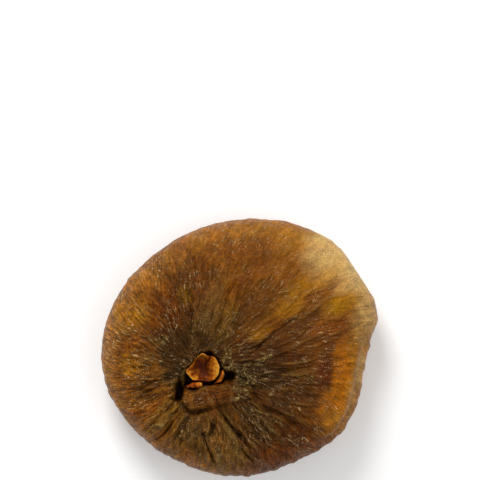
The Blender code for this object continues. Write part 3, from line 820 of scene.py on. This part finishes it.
def dried_fig_skin():
    """The skin: waxy and fibrous, with pale strands, specks of sugar and painted glints, painted highlights
    on raised parts, and painted shade in its creases and hollows and round its crests.
    """
    material, tree, shader = new_material("dried_fig_skin", {"Specular IOR Level": DULL})
    place = new_node(tree, "TexCoord", {}).outputs["Object"]
    flow = attribute(tree, "flow", "Vector")
    tone = attribute(tree, "tone", "Vector")
    worn = attribute(tree, "worn")
    ridge = attribute(tree, "ridge")
    streaks = drawn_out(tree, place, flow, 0.7, 700.0)
    threads = drawn_out(tree, place, flow, 0.28, 2000.0)
    hues = drawn_out(tree, place, flow, 1.3, 300.0, 0.36, 0.64)
    blots = noisy(tree, combined(tree, "MULTIPLY", place, (1.0, 1.0, 0.7)), 620.0, 3.0, 0.6, 0.3)
    grain = noisy(tree, place, 3000.0, 3.0, 0.7, 0.4)
    crease_shade = painted_crease_shade(tree)
    sugar_and_glint = sugar_and_glint_flecks(tree, place, flow)
    curls = crest_curls(tree, place, ridge)

    golden = combined(tree, "MULTIPLY", tone, (0.85, 0.86, 0.62))
    reddish = combined(tree, "MULTIPLY", tone, (0.84, 0.74, 0.54))
    colour = mixed(tree, hues, reddish, golden)
    colour = shaded(tree, colour, ranged(tree, streaks, 0.0, 1.0, -0.13, 0.14))
    cloudy = ranged(tree, blots, 0.34, 0.66, -0.24, 0.24)
    colour = shaded(tree, colour, times(tree, cloudy, ranged(tree, worn, 0.1, 0.8, 0.4, 1.0)))
    colour = shaded(tree, colour, times(tree, ranged(tree, threads, 0.0, 1.0, -0.30, 0.32), worn))
    gritty = ranged(tree, grain, 0.30, 0.70, -0.46, 0.46)
    colour = shaded(tree, colour, times(tree, gritty, ranged(tree, worn, 0.0, 1.0, 0.5, 1.0)))
    # Painted shade: dark lines down the creases.
    colour = tinted(tree, colour, crease_shade, 1.0, srgb(24, 13, 6))
    # Painted glints and hair-like highlights, with specks of sugar: a pale colour laid over the skin.
    brightened = combined(tree, "MULTIPLY", colour, (2.4, 2.3, 2.4))
    colour = mixed(tree, sugar_and_glint, colour, mixed(tree, 0.6, brightened, srgb(214, 184, 134)))
    # Painted highlight on the raised parts of the skin.
    colour = tinted(tree, colour, attribute(tree, "painted_crest_highlight"), 0.16, srgb(180, 136, 60))
    # Painted shade round the crests.
    colour = tinted(tree, colour, ridge, 0.35, srgb(50, 34, 12))
    colour = tinted(tree, colour, curls, 0.85, srgb(204, 172, 104))
    # Painted shade in the hollows, creases, pit and holes.
    colour = tinted(tree, colour, attribute(tree, "hollow"), 0.78, srgb(20, 11, 5))
    feed(tree, shader.inputs["Base Color"], colour)
    feed(tree, shader.inputs["Roughness"], ranged(tree, grain, 0.30, 0.70, 0.46, 0.22))
    relief = times(tree, threads, worn)
    for layer, weight in ((blots, 1.6), (sugar_and_glint, 0.7), (crease_shade, -1.4), (grain, 0.35), (curls, 1.5)):
        relief = plus(tree, relief, times(tree, layer, weight))
    bumped(tree, shader, relief, 0.34 * MM)
    return material


def dry_stalk(name, pale, mid, dark):
    """Dry, fibrous stalk tissue: its mesh carries its glow, tone with painted light, and its depth in a
    hollow, painted shade.
    """
    material, tree, shader = new_material(name, {"Roughness": 0.5, "Specular IOR Level": DULL})
    place = new_node(tree, "TexCoord", {}).outputs["Object"]
    mottle = new_node(tree, "Group", {"Vector": place, "Size": 620.0}, node_tree=MOTTLE).outputs
    glow = plus(tree, attribute(tree, "glow"), times(tree, plus(tree, mottle["Light"], -0.5), 0.55))
    colour = mixed(tree, ranged(tree, glow, 0.0, 0.6), dark, mid)
    colour = mixed(tree, ranged(tree, glow, 0.45, 1.0), colour, pale)
    grain = noisy(tree, combined(tree, "MULTIPLY", place, (1.0, 1.0, 0.25)), 3000.0, 3.0, 0.7)
    colour = shaded(tree, colour, ranged(tree, grain, 0.3, 0.7, -0.30, 0.22))
    # Painted shade where the tissue lies deep in a hollow.
    colour = mixed(tree, attribute(tree, "depth"), colour, srgb(64, 22, 5))
    feed(tree, shader.inputs["Base Color"], colour)
    bumped(tree, shader, mottle["Height"], 0.16 * MM)
    return material


# The broken mouth of the stub: bearing in degrees, outer radius, radius of the hollow, rise of the rim, glow,
# and how much more the rim glows. The glow is the stalk's tone with painted light, lit at the top and right
# and in painted shade at the bottom; how much more the rim glows is a painted highlight.
STUB_MIDDLE = (-6.85, -3.55)
STUB_RIM = (
    (5, 2.98, 0.95, 0.45, 0.72, 0.40), (22, 2.89, 1.00, 0.45, 0.74, 0.35),
    (43, 2.85, 1.10, 0.10, 0.45, 0.10), (56, 2.55, 1.25, -0.50, 0.05, 0.00),
    (66, 2.28, 1.30, -0.20, 0.20, 0.10), (78, 2.50, 1.65, 0.45, 0.95, 0.25),
    (95, 2.68, 2.00, 0.60, 0.95, 0.25), (117, 2.34, 1.80, 0.20, 0.55, 0.20),
    (140, 2.15, 1.62, 0.00, 0.42, 0.10), (162, 2.12, 1.55, -0.15, 0.38, 0.05),
    (179, 2.60, 1.58, -0.30, 0.45, 0.10), (190, 3.38, 1.60, -0.40, 0.55, 0.20),
    (208, 3.28, 1.58, -0.40, 0.50, 0.15), (230, 3.05, 1.56, -0.45, 0.52, 0.15),
    (250, 2.66, 1.50, -0.80, 0.28, 0.00), (270, 2.66, 1.50, -0.95, 0.12, 0.00),
    (298, 2.95, 1.50, -0.75, 0.18, 0.05), (320, 3.08, 1.35, -0.20, 0.45, 0.20),
    (343, 3.05, 1.05, 0.30, 0.66, 0.42),
)

# The stub's section: share of the way from the hollow's radius to the outer one, scale, and level.
STUB_SECTION = (
    (1.00, 0.55, 0.0), (1.00, 0.62, 0.7), (1.00, 0.70, 1.6), (1.00, 0.82, 2.6), (1.00, 0.93, 3.5),
    (1.00, 0.99, 4.3), (0.97, 1.00, 4.75), (0.88, 1.00, 4.95), (0.74, 1.00, 4.65), (0.50, 1.00, 4.2),
    (0.25, 1.00, 3.8), (0.00, 1.00, 3.3), (0.00, 0.70, 2.9), (0.00, 0.40, 2.6), (0.00, 0.06, 2.5),
)
STUB_TURNS = 132
STUB_STEPS = 52

# The round foot, and the levels between which the stub takes its own outline and then its torn rim.
STUB_FOOT_RADIUS = 2.7
STUB_OPENS = (0.5, 4.0)
STUB_TORN = (2.4, 4.6)


def smoothed(section, steps):
    """More points on a section, run smoothly through its own."""
    whole = np.arange(len(section))
    fine = np.linspace(0, len(section) - 1, steps)
    columns = np.array([np.interp(fine, whole, column) for column in zip(*section)])
    for _ in range(3):
        columns[:, 1:-1] = (columns[:, :-2] + 2 * columns[:, 1:-1] + columns[:, 2:]) / 4
    return columns


def stem_stub(foot):
    """The broken stub of the stalk: a cup turned in steps, whose wall follows the torn mouth."""
    shape = bmesh.new()
    corners = [shape.verts.new((1.0 + step, 0.0, 0.0)) for step in range(STUB_STEPS)]
    section = corners + [shape.edges.new(pair) for pair in zip(corners, corners[1:])]
    bmesh.ops.spin(shape, geom=section, axis=(0, 0, 1), angle=math.tau, steps=STUB_TURNS, use_merge=True)
    bmesh.ops.holes_fill(shape, edges=shape.edges, sides=STUB_TURNS)
    points = np.array([vert.co for vert in shape.verts])
    step = np.rint(np.hypot(points[:, 0], points[:, 1]) - 1.0).astype(int)
    inward, scale, level = smoothed(STUB_SECTION, STUB_STEPS)[:, step]
    bearing = np.arctan2(points[:, 1], points[:, 0])
    around = toward(bearing)
    outer, hollow, rise, glow, lip = (
        closed_curve([(row[0], row[column]) for row in STUB_RIM], bearing) for column in (1, 2, 3, 4, 5)
    )
    outer = STUB_FOOT_RADIUS + (outer - STUB_FOOT_RADIUS) * eased(*STUB_OPENS, level)
    torn = eased(*STUB_TORN, level)
    furrows = noise_at(np.column_stack((around * 3.4, level * 0.6)))
    folds = noise_at(np.column_stack((around * 7.0, inward * 1.6)))
    height = foot + level + (rise + 0.22 * furrows) * torn
    radius = (hollow + (outer - hollow) * inward) * scale + (0.10 * furrows + 0.07 * folds) * torn
    move_to(shape, np.column_stack((STUB_MIDDLE + around * radius[:, None], height)))
    bmesh.ops.recalc_face_normals(shape, faces=shape.faces)
    # Painted highlight on the mouth's rim, painted shade inside the hollow, and painted shade low down in the
    # pit.
    edge = eased(0.62, 0.95, inward) * eased(3.4, 4.6, level)
    inside = 1.0 - eased(0.02, 0.42, inward)
    glow = glow * (0.55 + 0.45 * eased(0.0, 0.7, inward)) + lip * edge
    glow += 0.30 * furrows + 0.25 * folds - 0.5 * eased(3.4, 1.8, level)
    return shape, {"depth": 0.5 * inside, "glow": np.clip(glow, 0.0, 1.0)}


# The bracts, by the node that each stands for: bearing about the stem, distance from it, shift to the side,
# width, height, thickness, and how far round the stub it curls.
BRACTS = {
    "bract_right": (math.radians(-37), 3.65, 0.0, 3.5, 3.5, 1.0, 1.0),
    "bract_left": (math.radians(-82), 3.15, -2.25, 3.3, 2.8, 1.2, 0.3),
}


def bract(foot, bearing, distance, shift, width, height, thickness, curl):
    """A dry scale that stands beside the stub: a slab with round edges, bent part of the way round it."""
    shape = bmesh.new()
    bmesh.ops.create_uvsphere(shape, u_segments=56, v_segments=36, radius=1.0)
    points = np.array([vert.co for vert in shape.verts])
    spread = np.hypot(points[:, 0], points[:, 2])
    turn = np.arctan2(points[:, 2], points[:, 0])
    square = (np.abs(np.cos(turn)) ** 3 + np.abs(np.sin(turn)) ** 3) ** (-1 / 3)
    across = spread * np.cos(turn) * square
    up = (spread * np.sin(turn) * square + 1.0) / 2
    thick = np.sign(points[:, 1]) * np.sqrt(np.clip(1.0 - spread**4, 0.0, 1.0)) * thickness / 2
    thick *= 0.8 + 0.3 * across - 0.2 * np.abs(across)
    ragged = noise_at(np.column_stack((across * 2.2, up * 2.4, np.full(len(up), bearing))))
    sideways = across * width / 2 * (0.75 + 0.25 * up)
    inward = distance - curl * sideways**2 / (2 * distance) + thick + 0.24 * ragged
    level = foot + height * up + (0.25 * ragged - 0.3 * across**2) * up
    heading = np.array((math.cos(bearing), math.sin(bearing)))
    crosswise = np.array((-math.sin(bearing), math.cos(bearing)))
    plan = STEM + inward[:, None] * heading + (shift + sideways)[:, None] * crosswise
    move_to(shape, np.column_stack((plan, level)))
    bmesh.ops.recalc_face_normals(shape, faces=shape.faces)
    # Painted light: each bract is lighter at one end of its top than at the other, and in painted shade
    # towards its foot.
    glow = 0.45 + 0.35 * across * up + 0.6 * ragged
    return shape, {"depth": 0.9 * eased(0.85, 0.25, up), "glow": np.clip(glow, 0.0, 1.0)}


# The scales of the eye: for each ring, how many, their distance from the middle, length, width and lift. They
# stand on a low button: its radius, half its height, and the level of its middle.
EYE_RINGS = (
    (7, 1.35, 1.5, 1.35, 0.10),
    (6, 0.75, 1.2, 1.0, 0.25),
    (4, 0.30, 0.7, 0.6, 0.40),
)
EYE_BUTTON = (2.2, 0.45)
EYE_LEVEL = 1.0


def eye_scales():
    """The scales that close the eye, in rings that overlap like tiles, on their button."""
    shape = bmesh.new()
    middle = Vector((*EYE, EYE_LEVEL)) * MM
    radius, half_height = EYE_BUTTON
    bmesh.ops.create_uvsphere(shape, u_segments=48, v_segments=20, radius=1.0)
    bmesh.ops.scale(shape, verts=shape.verts, vec=(radius * MM, radius * MM, half_height * MM))
    bmesh.ops.translate(shape, verts=shape.verts, vec=middle)
    for count, distance, length, width, lift in EYE_RINGS:
        for index in range(count):
            turn = math.tau * (index + 0.37 * count) / count
            made = bmesh.ops.create_uvsphere(shape, u_segments=20, v_segments=12, radius=1.0)["verts"]
            for vert in made:
                x, y, z = vert.co
                level = z * 0.14 - 0.18 * x - 0.12 * y * y
                vert.co = Vector((x * length / 2, y * width / 2 * (1.0 - 0.45 * max(0.0, -x)), level)) * MM
            spot = Vector((math.cos(turn) * distance, math.sin(turn) * distance, -0.38 - 0.4 * lift)) * MM
            bmesh.ops.rotate(shape, verts=made, cent=(0, 0, 0), matrix=Matrix.Rotation(turn, 3, "Z"))
            bmesh.ops.translate(shape, verts=made, vec=middle + spot)
    return shape, {"depth": [0.0] * len(shape.verts), "glow": [0.5] * len(shape.verts)}


def stage_floor():
    """A plain pale floor under the fruit."""
    shape = bmesh.new()
    bmesh.ops.create_grid(shape, x_segments=1, y_segments=1, size=2.0)
    mesh = bpy.data.meshes.new("floor")
    shape.to_mesh(mesh)
    shape.free()
    pale = {"Base Color": (0.93, 0.93, 0.93, 1.0), "Roughness": 0.9}
    glow = {"Emission Color": (1.0, 1.0, 1.0, 1.0), "Emission Strength": 0.15}
    mesh.materials.append(new_material("pale_floor", pale | glow)[0])
    floor = bpy.data.objects.new("floor", mesh)
    floor.location.z = -0.05 * MM
    bpy.context.scene.collection.objects.link(floor)


# Softboxes behind the fruit and over it: name, place, size and power. They face the lit place.
SOFTBOXES = (
    ("key", (-0.10, 0.30, 0.30), 0.16, 1.25),
    ("fill", (0.30, -0.10, 0.50), 0.35, 0.45),
)
LIT_PLACE = Vector((0.0, 0.0, 0.01))


def light_the_stage():
    """Soft studio light: two square softboxes and an even pale surround."""
    world = bpy.data.worlds.new("studio")
    world.use_nodes = True
    world.node_tree.nodes["Background"].inputs["Color"].default_value = (1.0, 1.0, 1.0, 1.0)
    world.node_tree.nodes["Background"].inputs["Strength"].default_value = 0.52
    bpy.context.scene.world = world
    for name, place, size, power in SOFTBOXES:
        lamp = bpy.data.lights.new(name, "AREA")
        lamp.size = size
        lamp.energy = power
        holder = bpy.data.objects.new(name, lamp)
        holder.location = place
        holder.rotation_euler = (LIT_PLACE - Vector(place)).to_track_quat("-Z", "Y").to_euler()
        bpy.context.scene.collection.objects.link(holder)
    bpy.context.scene.view_settings.view_transform = "Standard"


# The photograph looks straight down. Its middle lies this far from the fruit's, and it is this wide there.
VIEW_MIDDLE = (0.1 * MM, 20.2 * MM)
VIEW_WIDTH = 90.1 * MM
VIEW_LEVEL = EQUATOR * MM
LENS = 250.0
SENSOR = 36.0


def place_camera():
    """The camera, straight above the fruit."""
    camera = bpy.data.cameras.new("camera")
    camera.lens = LENS
    camera.sensor_width = SENSOR
    holder = bpy.data.objects.new("camera", camera)
    holder.location = (*VIEW_MIDDLE, VIEW_LEVEL + VIEW_WIDTH * LENS / SENSOR)
    bpy.context.scene.collection.objects.link(holder)
    bpy.context.scene.camera = holder


def foot_of(node):
    """The level of a node's foot, in millimetres."""
    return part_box(node)[0].z / MM


def main():
    fruit, middle, looks = fig_body()
    finish_mesh("fig_skin_body", fruit, middle, looks, dried_fig_skin(), "fig_body")
    orange = dry_stalk("dry_stalk", srgb(216, 150, 46), srgb(174, 92, 14), srgb(92, 34, 6))
    stub, looks = stem_stub(foot_of("stem_stub"))
    finish_mesh("broken_stalk", stub, middle, looks, orange, "stem_stub")
    ochre = dry_stalk("dry_bract", srgb(218, 142, 52), srgb(188, 94, 12), srgb(116, 46, 6))
    for node, measures in BRACTS.items():
        leaf, looks = bract(foot_of(node), *measures)
        finish_mesh("curled_" + node, leaf, middle, looks, ochre, node)
    dark = dry_stalk("eye_scale", srgb(140, 96, 50), srgb(96, 58, 28), srgb(50, 26, 12))
    scales, looks = eye_scales()
    finish_mesh("eye_scale_tiles", scales, middle, looks, dark, "eye_scales")
    stage_floor()
    light_the_stage()
    place_camera()


main()
